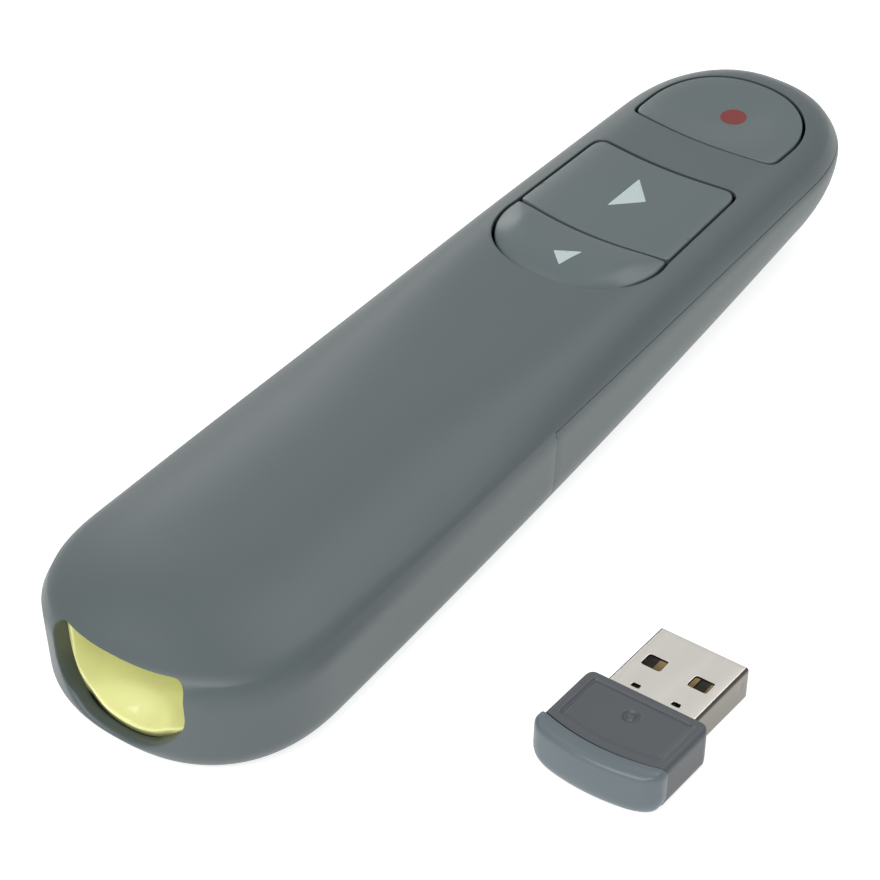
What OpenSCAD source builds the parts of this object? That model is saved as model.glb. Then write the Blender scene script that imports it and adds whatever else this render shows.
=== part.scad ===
// Hand-held wireless presentation clicker with a plug-in receiver lying beside it.
// Millimetres. +Z up, long axis along Y (laser end at +Y, tail at -Y), X to the right.
// The origin is the centre of the flat underside.

/* [Body] */
// Overall length from tail to laser end
body_len = 142; // [138:1:146]
// Half width at mid length
half_w = 17; // [16.8:0.1:17.4]
// Height of the crease between side and crown
crease_z = 14.3; // [14:0.1:14.6]
// Rise of the crown above the crease
crown_h = 4; // [3.8:0.1:4.3]
// Wall thickness of the shells
wall = 1.7; // [1.5:0.1:1.8]
// Where the lower shell's side walls end, towards the tail
seam_y = -8.2; // [-10:0.1:-7]

/* [Buttons] */
// Gap between a button and the edge of its opening
button_gap = 0.22; // [0.15:0.01:0.3]
// Height of the button caps' top face
button_top = 18.2; // [18:0.05:18.3]
// Side length of a tact switch
switch_size = 4.5; // [4:0.1:5]

/* [Batteries] */
// Radius of an AAA cell
cell_r = 5.25; // [5.1:0.05:5.25]
// Length of an AAA cell over its nub
cell_len = 44.5; // [44:0.1:44.5]

/* [Laser] */
// Radius of the laser barrel
laser_r = 2.4; // [2:0.1:2.5]
// Height of the laser axis
laser_z = 10.2; // [10:0.1:10.4]
// Radius of the exit hole
exit_r = 1.5; // [1.2:0.1:1.6]

/* [Receiver] */
// Width of the plug shell
plug_w = 12; // [12:0.1:12.1]
// Height of the plug shell
plug_h = 4.5; // [4.5:0.05:4.6]
// Distance that the receiver lies to the right of the clicker
receiver_x = 46.5; // [44:0.1:60]
// How far along the clicker the receiver lies
receiver_y = -32.4; // [-40:0.1:-20]
// Turn of the receiver on the table
receiver_yaw = 0.55; // [-5:0.05:5]

/* [Hidden] */

HL = body_len / 2;
GREY = [0.41, 0.44, 0.445];
DARK = [0.36, 0.38, 0.39];
LIME = [0.84, 0.86, 0.42];
STEEL = [0.8, 0.78, 0.74];
GREEN = [0.1, 0.36, 0.2];
BLACK = [0.09, 0.09, 0.1];
GOLD = [0.83, 0.66, 0.3];
N = 34;              // points along each side of a ring
part_z = crease_z - 0.2;   // parting plane beside the buttons
skirt_z = 0.95;      // lower edge of the tail skirt
bay0 = -42;        // battery bay, tail end
bay1 = 7.3;          // battery bay, front end
board_z = 10.6;
board_t = 1;
lid_front = -1.6;      // front edge of the battery cover
lid_w = 12;          // half width of the battery cover
lid_t = 1.15;        // its thickness
BOSSES = [[-10.5, 13.3], [10.5, 13.3], [0, 45]];
SWITCHES = [[0, 19], [0, 33], [0, 53]];   // back, next, laser

// ---- the body's outer surface, as rings of points round the plan outline ----
function wlin(y) = half_w - 0.029 * y - 0.19 * pow(y / 70, 2);
function endr(t, n) = pow(max(0, 1 - pow(min(1, max(0, t)), n)), 1 / n);
function halfw(y) = wlin(y) * endr((19 - HL - y) / 19, 2.35) * endr((y - HL + 17.6) / 17.6, 2.34);
function smooth(t) = let (c = min(1, max(0, t))) c * c * (3 - 2 * c);
function crown_p(y) = 2.8 + 4.2 * smooth((y + 30) / 60);
function along(y) = (y + HL) / (2 * HL);
// lower rounding: small at the tail, deep at the laser end
function rnd_h(y) = 4.3 + 8.7 * pow(along(y), 2);
function rnd_v(y) = min(4.3 + 11.3 * pow(along(y), 2), crease_z - 1.3);
RINGS = [90, 70, 50, 30, 12, 0, -1, -0.965, -0.92, -0.86, -0.78, -0.62, -0.35, 0.06];
function side_y(i) = -HL * cos(180 * i / N);
// one ring point: inset and height from the ring code (angle, or minus the crown fraction)
function ring_pt(k, i, t) =
    let (c = RINGS[k], j = i <= N ? i : 2 * N - i, s = i <= N ? 1 : -1, y = side_y(j), w = wlin(y),
         low = k < 6,
         zb = rnd_v(y) * (1 - sin(c)),
         f = k == 13 ? 0.06 : -c,
         ins = low ? 0.7 * (1 - zb / crease_z) + rnd_h(y) * (1 - cos(c)) + t * cos(c) : t + (w - t) * (1 - f),
         z = low ? zb + t * sin(c)
             : k == 13 ? crease_z + crown_h - t
             : crease_z + crown_h * (1 - pow(f, crown_p(y))) - t * (1 - 0.75 * pow(f, 6)))
    [s * halfw(y) * (1 - ins / w), y * (1 - ins / HL), z];
module env(t = 0) {
    M = 2 * N;
    R = len(RINGS);
    pts = [for (k = [0:R - 1]) for (i = [0:M - 1]) ring_pt(k, i, t)];
    sides = [for (k = [0:R - 2]) for (i = [0:M - 1]) each
        let (a = k * M + i, b = k * M + (i + 1) % M, c = a + M, d = b + M) [[a, c, b], [b, c, d]]];
    bottom = [[for (i = [0:M - 1]) i]];
    top = [[for (i = [M - 1:-1:0]) (R - 1) * M + i]];
    polyhedron(points = pts, faces = concat(sides, bottom, top), convexity = 6);
}
module box(x0, x1, y0, y1, z0, z1) translate([x0, y0, z0]) cube([x1 - x0, y1 - y0, z1 - z0]);
module rod(x, y, z0, z1, r) translate([x, y, z0]) cylinder(r = r, h = z1 - z0, $fn = 40);
module rod_y(x, y0, y1, z, r) translate([x, y0, z]) rotate([-90, 0, 0]) cylinder(r = r, h = y1 - y0, $fn = 40);
// tail opening: vertical sides, a half ellipse below, small upper corners
module mouth_outline() {
    translate([0, 10]) polygon([for (a = [180:6:360]) [9.3 * cos(a), 7 * sin(a)]]);
    translate([-9.3, 9.98]) square([18.6, 3.22]);
    translate([-7.8, 9.98]) square([15.6, 4.72]);
    for (s = [-1, 1]) translate([s * 7.8, 13.2]) circle(r = 1.5, $fn = 24);
}
module mouth() translate([0, -60, 0]) rotate([90, 0, 0]) linear_extrude(20) mouth_outline();

// ---- button outlines, grown by g ----
function bow(x, w, d) = d * (1 - pow(x / w, 2));
function back_pts(g) = concat(
    [for (i = [0:8]) let (x = -11.35 - g + i * (11.35 + g) / 4) [x, 24.3 - 0.2 + g * 0.5 - bow(x, 11.35 + g, 1.5)]],
    [for (i = [1:23]) let (a = -i * 180 / 24, c = cos(a), s = sin(a), n = 2.4)
        [sign(c) * pow(abs(c), 2 / n) * (11.6 + g), 23.5 - pow(abs(s), 2 / n) * (11.2 + g)]]);
function next_pts(g) = concat(
    [for (i = [0:8]) let (x = 11.35 + g - i * (11.35 + g) / 4) [x, 24.3 + 0.2 - g * 0.5 - bow(x, 11.35 + g, 1.5)]],
    [[-10.85 - g, 39.9], [-10.65 - g, 40.8 + g], [-9.8, 41.5 + g]],
    [for (i = [1:7]) let (x = -9.8 + i * 19.6 / 8) [x, 41.5 + g - bow(x, 9.8, 0.9)]],
    [[9.8, 41.5 + g], [10.65 + g, 40.8 + g], [10.85 + g, 39.9]]);
function laser_pts(g) = concat(
    [for (i = [0:8]) let (x = 9.4 - i * 9.4 / 4) [x, 49.6 - g - bow(x, 9.4, 0.9)]],
    [[-10.4 - g, 50 - g * 0.6], [-10.8 - g, 51]],
    [for (i = [0:24]) let (a = 180 - i * 180 / 24, c = cos(a), s = sin(a), n = 2.2)
        [sign(c) * pow(abs(c), 2 / n) * (10.8 + g), 54 + pow(abs(s), 2 / n) * (10.8 + g)]],
    [[10.8 + g, 51], [10.4 + g, 50 - g * 0.6]]);
// crown profile over the buttons, as a prism along Y
module crown(w, y0, y1, top) translate([0, y1, 0]) rotate([90, 0, 0]) linear_extrude(y1 - y0)
    polygon(concat([[-w, 12], [w, 12]], [for (i = [0:16]) let (x = w * (1 - i / 8))
        [x, top - crown_h * pow(abs(x) / w, 6.6)]]));
module plate(y0, y1, x) box(-x, x, y0, y1, 14.6, 15.6);
module post(p) rod(p.x, p.y, 13.72, 14.7, 1.4);

// ---- casing ----
module top_shell() color(GREY) difference() {
    intersection() {
        env(0);
        union() {
            box(-25, 25, seam_y, 80, part_z, 25);
            box(-25, 25, -80, seam_y, skirt_z, 25);
            for (p = BOSSES) rod(p.x, p.y, 7, 16, 2);
        }
    }
    difference() {
        env(wall);
        for (p = BOSSES) rod(p.x, p.y, 7, 20, 2);
        // thicker rim round the tail opening
        difference() {
            box(-11.5, 11.5, -80, -64, 1.7, 16);
            env(2.2);
        }
    }
    translate([0, 0, 13]) linear_extrude(8) {
        polygon(back_pts(button_gap));
        polygon(next_pts(button_gap));
        polygon(laser_pts(button_gap));
    }
    mouth();
    for (p = BOSSES) rod(p.x, p.y, 6, 13.6, 0.95);
    // room for the rails and the cover under the tail half
    box(-14.4, 14.4, -60.1, seam_y + 1, -1, 2.75);
    box(-13, 13, -80, -60, -1, 1.25);
}
module bottom_shell() color(GREY) difference() {
    union() {
        difference() {
            intersection() {
                env(0);
                union() {
                    box(-25, 25, seam_y, 80, -1, part_z);
                    box(-25, 25, -80, seam_y + 0.01, -1, skirt_z - 0.05);
                    box(-14.3, 14.3, -60, seam_y + 0.01, -1, 2.6);
                }
            }
            difference() {
                env(wall);
                for (p = BOSSES) rod(p.x, p.y, 0, 6.95, 2);
                for (s = [-1, 1]) {
                    box(s > 0 ? lid_w : -14.3, s > 0 ? 14.3 : -lid_w, -60, lid_front, 1, 2.6);
                    rod(s * 8.5, 17.5, 0, board_z, 1.4);
                    rod(s * 6, 49, 0, board_z, 1.4);
                }
            }
        }
        // cradle of the laser barrel
        difference() {
            box(-3.6, 3.6, 58, 65, 3, laser_z);
            rod_y(0, 57, 66, laser_z, laser_r + 0.05);
        }
    }
    // opening of the battery cover and the grooves that guide it
    box(-lid_w - 0.05, lid_w + 0.05, -80, lid_front, -2, 6);
    box(-lid_w - 1, lid_w + 1, -80, lid_front - 1, 0.7, 1.25);
    for (p = BOSSES) {
        rod(p.x, p.y, -1, 8, 1.15);
        rod(p.x, p.y, -1, 3.2, 1.55);
    }
    for (s = [-1, 1]) rod(s * 8.5, 17.5, 5, 12, 0.65);
    rod_y(0, 60, 75, laser_z, exit_r);
    // slot of the power knob in the left side wall
    box(-20, -13, 19.3, 24.7, 11.7, 13.4);
}
module battery_cover() color(GREY) {
    intersection() {
        env(0);
        box(-lid_w, lid_w, -80, lid_front - 0.1, -1, lid_t);
    }
    for (s = [-1, 1]) box(s > 0 ? lid_w - 0.01 : -lid_w - 0.9, s > 0 ? lid_w + 0.9 : -lid_w + 0.01,
        -59, lid_front - 2, 0.76, lid_t);
}
// lime liner of the bay in the tail: the receiver goes in plug first
module bay_outline(w, z0, r) {
    translate([-w, z0 + r]) square([2 * w, 16]);
    translate([-w + r, z0]) square([2 * (w - r), 16]);
    for (s = [-1, 1]) translate([s * (w - r), z0 + r]) circle(r = r, $fn = 48);
}
module receiver_bay_liner() color(LIME) {
    difference() {
        intersection() {
            env(2.25);
            box(-10.7, 10.7, -80, -43.2, 2.75, 14.6);
        }
        translate([0, -57.6, 0]) rotate([90, 0, 0]) linear_extrude(20) bay_outline(8.9, 5.6, 3.2);
        // scoop behind the opening
        translate([0, -72, 10]) {
            scale([9.3, 9.5, 7]) sphere(r = 1, $fn = 48);
            linear_extrude(8) scale([9.3, 9.5]) circle(r = 1, $fn = 48);
        }
        // pocket for the plug
        box(-6.2, 6.2, -58, -44.4, 8.25, 13);
    }
    for (s = [-1, 1]) box(s > 0 ? 10.6 : -13.9, s > 0 ? 13.9 : -10.6, -57, -46, 2.65, 3.5);
}

// ---- buttons ----
module laser_button() color(GREY) {
    intersection() {
        translate([0, 0, 14.6]) linear_extrude(5) polygon(laser_pts(0));
        crown(15.4, 45, 70, button_top);
    }
    plate(51, 56.5, 11.4);
    post(SWITCHES[2]);
}
module next_button() color(GREY) {
    intersection() {
        translate([0, 0, 14.6]) linear_extrude(5) polygon(next_pts(0));
        crown(15.9, 20, 45, button_top);
    }
    plate(27, 39, 12);
    post(SWITCHES[1]);
}
module back_button() color(GREY) {
    intersection() {
        translate([0, 0, 14.6]) linear_extrude(5) polygon(back_pts(0));
        crown(16.4, 8, 26, button_top);
    }
    plate(16, 21.9, 12.3);
    post(SWITCHES[0]);
}
module plunger(p) color(BLACK) rod(p.x, p.y, 12.4, 13.7, 1);
module laser_plunger() plunger(SWITCHES[2]);
module next_plunger() plunger(SWITCHES[1]);
module back_plunger() plunger(SWITCHES[0]);
module tact(p) color(STEEL) difference() {
    h = switch_size / 2;
    box(p.x - h, p.x + h, p.y - h, p.y + h, board_z + board_t, 13.1);
    rod(p.x, p.y, 11.9, 14, 1.05);
}
module laser_switch() tact(SWITCHES[2]);
module next_switch() tact(SWITCHES[1]);
module back_switch() tact(SWITCHES[0]);

// ---- electronics ----
module main_board() color(GREEN) difference() {
    union() {
        box(-10.8, 10.8, 16, 50, board_z, board_z + board_t);
        box(-7.5, 7.5, 49.9, 55.8, board_z, board_z + board_t);
    }
    rod(0, 45, 9, 13, 2.3);
    for (s = [-1, 1]) rod(s * 8.5, 17.5, 9, 13, 0.85);
}
module radio_chip() color(BLACK) box(-8.5, -4.5, 38, 42, board_z + board_t, 12.5);
module controller_chip() color(BLACK) box(4, 9, 22, 27, board_z + board_t, 12.7);
module crystal() color(STEEL) box(-8.3, -5.1, 30, 32.5, board_z + board_t, 12.3);
module power_switch() color(STEEL) difference() {
    box(-14, -10, 18.4, 25.6, board_z + board_t, 13.4);
    box(-14.5, -12.2, 19.6, 24.4, 12, 13.1);
}
module power_knob() color(BLACK) {
    box(-16.9, -14.2, 19.6, 22.2, 11.85, 13.25);
    box(-14.3, -12.4, 20.2, 21.6, 12.1, 13);
    for (i = [0:2]) box(-17.2, -16.8, 19.9 + i * 0.8, 20.3 + i * 0.8, 11.95, 13.15);
}
module laser_barrel() color(GOLD) difference() {
    rod_y(0, 56.4, 67, laser_z, laser_r);
    rod_y(0, 55, 68, laser_z, laser_r - 0.55);
}
module laser_lens() color([0.8, 0.85, 0.9]) intersection() {
    rod_y(0, 62, 66.5, laser_z, laser_r - 0.57);
    translate([0, 58, laser_z]) sphere(r = 8, $fn = 48);
    box(-5, 5, 64.4, 67, 5, 15);
}
module laser_diode() color(STEEL) {
    rod_y(0, 56.6, 57.6, laser_z, laser_r - 0.57);
    rod_y(0, 57.5, 59.2, laser_z, 1.1);
}
module laser_window() color([0.5, 0.1, 0.1, 0.6]) rod_y(0, 68.1, 69.5, laser_z, exit_r - 0.03);

// ---- batteries ----
module cell() {   // along +Y, nub at the far end
    rod_y(0, 0, cell_len - 1.2, 0, cell_r);
    rod_y(0, cell_len - 1.3, cell_len, 0, 1.9);
}
cell_z = 2.35 + cell_r;
module left_battery() color([0.25, 0.3, 0.3]) translate([-5.6, bay1 - 0.4 - cell_len, cell_z]) cell();
module right_battery() color([0.25, 0.3, 0.3]) translate([5.6, bay0 + 0.4 + cell_len, cell_z]) rotate([0, 0, 180]) cell();
module battery_tray() color(DARK) intersection() {
    env(1.9);
    union() {
        for (s = [-1, 1]) box(s > 0 ? 11 : -13.3, s > 0 ? 13.3 : -11, bay0 - 0.8, bay1 + 1, 2.75, 8.5);
        box(-13.3, 13.3, bay0 - 0.8, bay0, 2.75, 13.5);
        box(-13.3, 13.3, bay1, bay1 + 1, 2.75, 13.5);
    }
}
// a round-wire spring, swept along a helix that tapers towards the cell
function coil_pt(u, h) = let (r = 3.6 - 1.6 * u, a = 360 * 3.5 * u) [r * cos(a), 0.25 + (h - 0.5) * u, r * sin(a)];
module coil(h, S = 48, Q = 6, wr = 0.22) {
    pts = [for (k = [0:S]) let (u = k / S, p = coil_pt(u, h), q = coil_pt(u + 0.001, h), d = q - p, t = d / norm(d),
            rad = [p.x, 0, p.z] / norm([p.x, 0, p.z]), b = cross(t, rad), n = cross(b, t))
        for (m = [0:Q - 1]) p + wr * (cos(360 * m / Q) * n / norm(n) + sin(360 * m / Q) * b / norm(b))];
    faces = concat([for (k = [0:S - 1]) for (m = [0:Q - 1]) each
        let (a = k * Q + m, b = k * Q + (m + 1) % Q) [[a, b, a + Q], [b, b + Q, a + Q]]],
        [[for (m = [Q - 1:-1:0]) m]], [[for (m = [0:Q - 1]) S * Q + m]]);
    polyhedron(points = pts, faces = faces, convexity = 8);
}
module battery_springs() color(STEEL) {
    translate([-5.6, bay0 + 0.3, cell_z]) coil(bay1 - cell_len - bay0 - 0.75);
    translate([5.6, bay1 - 0.3, cell_z]) rotate([0, 0, 180]) coil(bay1 - 0.35 - (bay0 + 0.4 + cell_len));
}
module battery_contacts() color(STEEL) {
    for (s = [-1, 1]) {
        box(s * 5.6 - 4, s * 5.6 + 4, bay0 + 0.02, bay0 + 0.3, 3.6, 11.6);
        box(s * 5.6 - 4, s * 5.6 + 4, bay1 - 0.3, bay1 - 0.02, 3.6, 11.6);
    }
    box(-1.7, 1.7, bay0 + 0.02, bay0 + 0.3, 10, 11.6);
}

// ---- fasteners ----
module shell_screws() color(STEEL) for (p = BOSSES) {
    rod(p.x, p.y, 2.3, 3.2, 1.5);
    rod(p.x, p.y, 3.1, 11.2, 0.9);
}
module board_screws() color(STEEL) for (s = [-1, 1]) {
    rod(s * 8.5, 17.5, board_z + board_t + 0.01, 12.4, 1.4);
    rod(s * 8.5, 17.5, 6.5, 12, 0.6);
}

// ---- receiver, made with its plug along +Y and laid on the table ----
tip_y = 12;
nose_h = 3.3;        // half height of the end piece, on which the receiver rests with its tip
lean = atan((nose_h - plug_h / 2) / (tip_y + 9.8));
module laid() translate([receiver_x, receiver_y, plug_h / 2 * cos(lean) + tip_y * sin(lean)])
    rotate([0, 0, receiver_yaw]) rotate([-lean, 0, 0]) children();
module receiver_plug_shell() color(STEEL) laid() difference() {
    box(-plug_w / 2, plug_w / 2, -1, tip_y, -plug_h / 2, plug_h / 2);
    box(-plug_w / 2 + 0.3, plug_w / 2 - 0.3, -4, tip_y + 1, -plug_h / 2 + 0.3, plug_h / 2 - 0.3);
    for (s = [-1, 1]) {
        box(s * 3.13 - 1.25, s * 3.13 + 1.25, 5.25, 7.25, -5, 5);
        box(s * 2.7 - 0.6, s * 2.7 + 0.6, 1.28, 1.98, 0, 5);
    }
}
module receiver_tongue() color(BLACK) laid() box(-5.6, 5.6, -0.9, 11.2, -1.9, 0);
module receiver_contacts() color(GOLD) laid() for (x = [-3.5, -1, 1, 3.5])
    box(x - 0.5, x + 0.5, abs(x) > 2 ? 2.6 : 3.4, 10.6, 0, 0.18);
module receiver_board() color(GREEN) laid() box(-6.4, 6.4, -9, -1.2, -0.5, 0.3);
module receiver_chip() color(BLACK) laid() box(-2, 2, -7, -3, 0.3, 1.2);
function arc_y(x, d) = -d + 1.35 * pow(x / 8.2, 2);
// plan of the housing or nose: straight back edge or arc, arc in front
function plan(w, back, d) = concat([for (i = [0:12]) let (x = w - i * w / 6) [x, back == 0 ? 0.5 : arc_y(x, back)]],
    [for (i = [0:12]) let (x = -w + i * w / 6) [x, arc_y(x, d)]]);
module rounded(w, z0, z1, rt, rb) rotate([90, 0, 0]) linear_extrude(20) union() {
    translate([-w, z0 + rb]) square([2 * w, z1 - rt - z0 - rb]);
    translate([-w + rb, z0]) square([2 * (w - rb), z1 - z0 - rt]);
    translate([-w + rt, z0 + rb]) square([2 * (w - rt), z1 - z0 - rb]);
    for (s = [-1, 1]) {
        translate([s * (w - rb), z0 + rb]) circle(r = rb, $fn = 40);
        translate([s * (w - rt), z1 - rt]) circle(r = rt, $fn = 32);
    }
}
module receiver_housing() color(DARK) laid() difference() {
    intersection() {
        translate([0, 0, -6]) linear_extrude(12) polygon(plan(8.2, 0, 10.45));
        translate([0, 2, 0]) rounded(8.2, -3, 3, 0.8, 1.5);
    }
    // underside lies flat, clear of the table
    rotate([lean, 0, 0]) translate([-20, -40, -6 - plug_h / 2 * cos(lean) - tip_y * sin(lean)]) cube([40, 60, 6.1]);
    box(-6.7, 6.7, -9.2, -0.6, -1.95, 1.9);
    box(-plug_w / 2 - 0.02, plug_w / 2 + 0.02, -2, 2, -plug_h / 2 - 0.02, plug_h / 2 + 0.02);
    // shallow panel on the upper face
    box(-6.7, 6.7, -9, -0.8, 2.75, 4);
}
module receiver_nose() color(GREY) laid() intersection() {
    translate([0, 0, -6]) linear_extrude(12) polygon(plan(8.5, 10.47, 12.8));
    rounded(8.5, -nose_h, nose_h, 0.9, 2.7);
}

top_shell();
bottom_shell();
battery_cover();
receiver_bay_liner();
laser_button();
next_button();
back_button();
laser_plunger();
next_plunger();
back_plunger();
laser_switch();
next_switch();
back_switch();
main_board();
radio_chip();
controller_chip();
crystal();
power_switch();
power_knob();
laser_barrel();
laser_lens();
laser_diode();
laser_window();
battery_tray();
left_battery();
right_battery();
battery_springs();
battery_contacts();
shell_screws();
board_screws();
receiver_plug_shell();
receiver_tongue();
receiver_contacts();
receiver_board();
receiver_chip();
receiver_housing();
receiver_nose();
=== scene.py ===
import bpy
import math
import numpy as np
from mathutils import Vector, Matrix
from mathutils.geometry import delaunay_2d_cdt


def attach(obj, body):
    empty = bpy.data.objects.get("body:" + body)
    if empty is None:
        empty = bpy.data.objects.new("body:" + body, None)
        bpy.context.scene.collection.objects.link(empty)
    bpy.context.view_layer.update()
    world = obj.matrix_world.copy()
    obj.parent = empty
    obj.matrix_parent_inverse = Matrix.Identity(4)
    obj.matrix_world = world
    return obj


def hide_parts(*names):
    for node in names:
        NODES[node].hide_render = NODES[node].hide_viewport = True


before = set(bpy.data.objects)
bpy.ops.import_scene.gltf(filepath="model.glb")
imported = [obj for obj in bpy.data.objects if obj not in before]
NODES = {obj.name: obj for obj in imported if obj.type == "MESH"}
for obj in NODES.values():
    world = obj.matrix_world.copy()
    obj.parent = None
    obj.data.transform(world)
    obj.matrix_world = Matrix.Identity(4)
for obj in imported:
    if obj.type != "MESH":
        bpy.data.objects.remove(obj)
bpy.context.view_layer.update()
MM = 0.001

# ------------------------------------------------------------------ body surface (mm)
HL, ZC, CH = 71.0, 14.3, 4.0
SEAM_Y = -8.2


def wlin(y):
    return 17.0 - 0.029 * y - 0.19 * (y / 70) ** 2


def endr(t, n):
    return np.maximum(0, 1 - np.clip(t, 0, 1) ** n) ** (1 / n)


def halfw(y):
    return wlin(y) * endr((19 - HL - y) / 19, 2.35) * endr((y - HL + 17.6) / 17.6, 2.34)


def ss(t):
    t = np.clip(t, 0, 1)
    return t * t * (3 - 2 * t)


def pw(y):
    return 2.8 + 4.2 * ss((y + 30) / 60)


def rv(y):
    return np.minimum(4.3 + 11.3 * ((y + HL) / 142) ** 2, ZC - 1.3)


def rh(y):
    return 4.3 + 8.7 * ((y + HL) / 142) ** 2


def ins_z(y, z):
    """inset of the outer surface at height z, for the ring parameter y; the crease is softened"""
    SOFT = 1.25 + 0.95 * ss((-25 - y) / 35)
    w, p, v, h = wlin(y), pw(y), rv(y), rh(y)
    a = np.arcsin(np.clip(1 - z / v, 0, 1))
    low = 0.7 * (1 - z / ZC) + h * (1 - np.cos(a))
    za, ia = ZC - SOFT, 0.7 * SOFT / ZC
    zb = ZC + CH * (1 - (1 - SOFT / w) ** p)
    qa, qb = za - 2 * ZC + zb, 2 * (ZC - za)
    flat = np.abs(qa) < 1e-7
    disc = np.sqrt(np.maximum(qb * qb - 4 * qa * (za - z), 0))
    t = np.clip(np.where(flat, (z - za) / qb, (-qb + disc) / (2 * np.where(flat, 1, qa))), 0, 1)
    mid = ia * (1 - t) ** 2 + SOFT * t * t
    top = w * (1 - np.clip(1 - (z - ZC) / CH, 0, 1) ** (1 / p))
    return np.where(z <= za, low, np.where(z <= zb, mid, top))


def S(yc, z, sgn=1.0):
    yc, z = np.broadcast_arrays(np.asarray(yc, float), np.asarray(z, float))
    b = 1 - ss((np.abs(yc) - 40) / 20)
    y = yc.copy()
    for _ in range(4):
        y = yc / (1 - ins_z(y, z) * b / HL)
    ins = ins_z(y, z)
    return np.stack([sgn * halfw(y) * (1 - ins / wlin(y)), y * (1 - ins / HL), z], -1)


def crown_z(x, y):
    x, y = np.abs(np.asarray(x, float)), np.asarray(y, float)
    lo, hi = np.zeros_like(x), np.ones_like(x)

    def ring(f):
        yo = y.copy()
        for _ in range(6):
            yo = np.clip(y / (1 - wlin(yo) * (1 - f) / HL), -HL, HL)
        return yo

    for _ in range(34):
        f = (lo + hi) / 2
        under = halfw(ring(f)) * f <= x
        lo, hi = np.where(under, f, lo), np.where(under, hi, f)
    return ZC + CH * (1 - lo ** pw(ring(lo)))


def end_y(x, z, front):
    """y of the outer surface at (x, z), at the tail or at the laser end"""
    x, z = np.abs(np.asarray(x, float)), np.asarray(z, float)
    lo = np.full_like(x, HL if front else -HL)
    hi = np.full_like(x, 40.0 if front else -45.0)
    for _ in range(40):
        m = (lo + hi) / 2
        inside = halfw(m) * (1 - ins_z(m, z) / wlin(m)) <= x
        lo, hi = np.where(inside, m, lo), np.where(inside, hi, m)
    return lo * (1 - ins_z(lo, z) / HL)


def side_x(y, z):
    """x of the outer surface at (y, z), away from the ends"""
    return S(y, z)[..., 0]


def bottom_z(x, y):
    x, y = np.abs(np.asarray(x, float)), np.asarray(y, float)
    lo, hi = np.zeros_like(x), np.full_like(x, 4.0)
    for _ in range(34):
        z = (lo + hi) / 2
        yo = y.copy()
        for _ in range(5):
            yo = np.clip(y / (1 - ins_z(yo, z) / HL), -HL, HL)
        inside = halfw(yo) * (1 - ins_z(yo, z) / wlin(yo)) < x
        lo, hi = np.where(inside, z, lo), np.where(inside, hi, z)
    return lo


# ------------------------------------------------------------------ mesh helpers
def tri_grid(P, wrap=False):
    """triangles of a grid of points with shape (rows, columns, 3)"""
    R, C = P.shape[:2]
    idx = np.arange(R * C).reshape(R, C)
    if wrap:
        idx = np.concatenate([idx, idx[:, :1]], 1)
    a, b, c, d = idx[:-1, :-1].ravel(), idx[:-1, 1:].ravel(), idx[1:, 1:].ravel(), idx[1:, :-1].ravel()
    return P.reshape(-1, 3), np.concatenate([np.stack([a, b, c], 1), np.stack([a, c, d], 1)])


def join(parts):
    V, F, n = [], [], 0
    for v, f in parts:
        V.append(v)
        F.append(f + n)
        n += len(v)
    return np.concatenate(V), np.concatenate(F)


def weld(V, F):
    key = np.round(V * 2e3).astype(np.int64)
    _, first, inv = np.unique(key, axis=0, return_index=True, return_inverse=True)
    F = inv.reshape(-1)[F]
    good = (F[:, 0] != F[:, 1]) & (F[:, 1] != F[:, 2]) & (F[:, 2] != F[:, 0])
    return V[first], F[good]


def face_n(V, F):
    return np.cross(V[F[:, 1]] - V[F[:, 0]], V[F[:, 2]] - V[F[:, 0]])


def outward(V, F, centre):
    n = face_n(V, F)
    if (n * (V[F].mean(1) - centre)).sum() < 0:
        F = F[:, ::-1]
    return V, F


def vert_n(V, F):
    n = face_n(V, F)
    out = np.zeros_like(V)
    for k in range(3):
        np.add.at(out, F[:, k], n)
    return out / np.maximum(np.linalg.norm(out, axis=1, keepdims=True), 1e-12)


def borders(F, nv):
    e = np.concatenate([F[:, [0, 1]], F[:, [1, 2]], F[:, [2, 0]]])
    key, rev = e[:, 0] * nv + e[:, 1], e[:, 1] * nv + e[:, 0]
    return e[~np.isin(key, rev)]


def thick(V, F, T, r, direction=None, depth=None):
    """closed solid from an open outer surface: edges rounded by r, walls going inwards"""
    nv = len(V)
    n = vert_n(V, F)
    w = -n if direction is None else direction(V, n)
    dep = np.full(nv, float(T)) if depth is None else depth(V, T)
    inner = V + w * dep[:, None]
    e = borders(F, nv)
    t = V[e[:, 1]] - V[e[:, 0]]
    t /= np.maximum(np.linalg.norm(t, axis=1, keepdims=True), 1e-12)
    d = np.zeros_like(V)
    for k in range(2):
        np.add.at(d, e[:, k], np.cross(t, n[e[:, k]]))
    d -= n * (d * n).sum(1, keepdims=True)
    d /= np.maximum(np.linalg.norm(d, axis=1, keepdims=True), 1e-12)
    b = np.unique(e)
    r = (np.full(nv, float(r)) if np.isscalar(r) else r)[b][:, None]
    slot = np.full(nv, -1)
    slot[b] = np.arange(len(b))
    rows = []
    for ph in (25, 50, 70, 90):
        ph = math.radians(ph)
        rows.append(V[b] + r * math.sin(ph) * d[b] + r * (1 - math.cos(ph)) * w[b])
    rows.append(V[b] + r * d[b] + (dep[b, None] - 0.02) * w[b])
    allV = [V, inner] + rows
    allF = [F, F[:, ::-1] + nv]

    def quad(a0, b0, a1, b1):
        allF.append(np.stack([b0, a0, a1], 1))
        allF.append(np.stack([b0, a1, b1], 1))

    A, B = e[:, 0], e[:, 1]
    for k in range(len(rows)):
        base = 2 * nv + k * len(b)
        A1, B1 = base + slot[e[:, 0]], base + slot[e[:, 1]]
        quad(A, B, A1, B1)
        A, B = A1, B1
    quad(A, B, e[:, 0] + nv, e[:, 1] + nv)
    return np.concatenate(allV), np.concatenate(allF)


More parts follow.
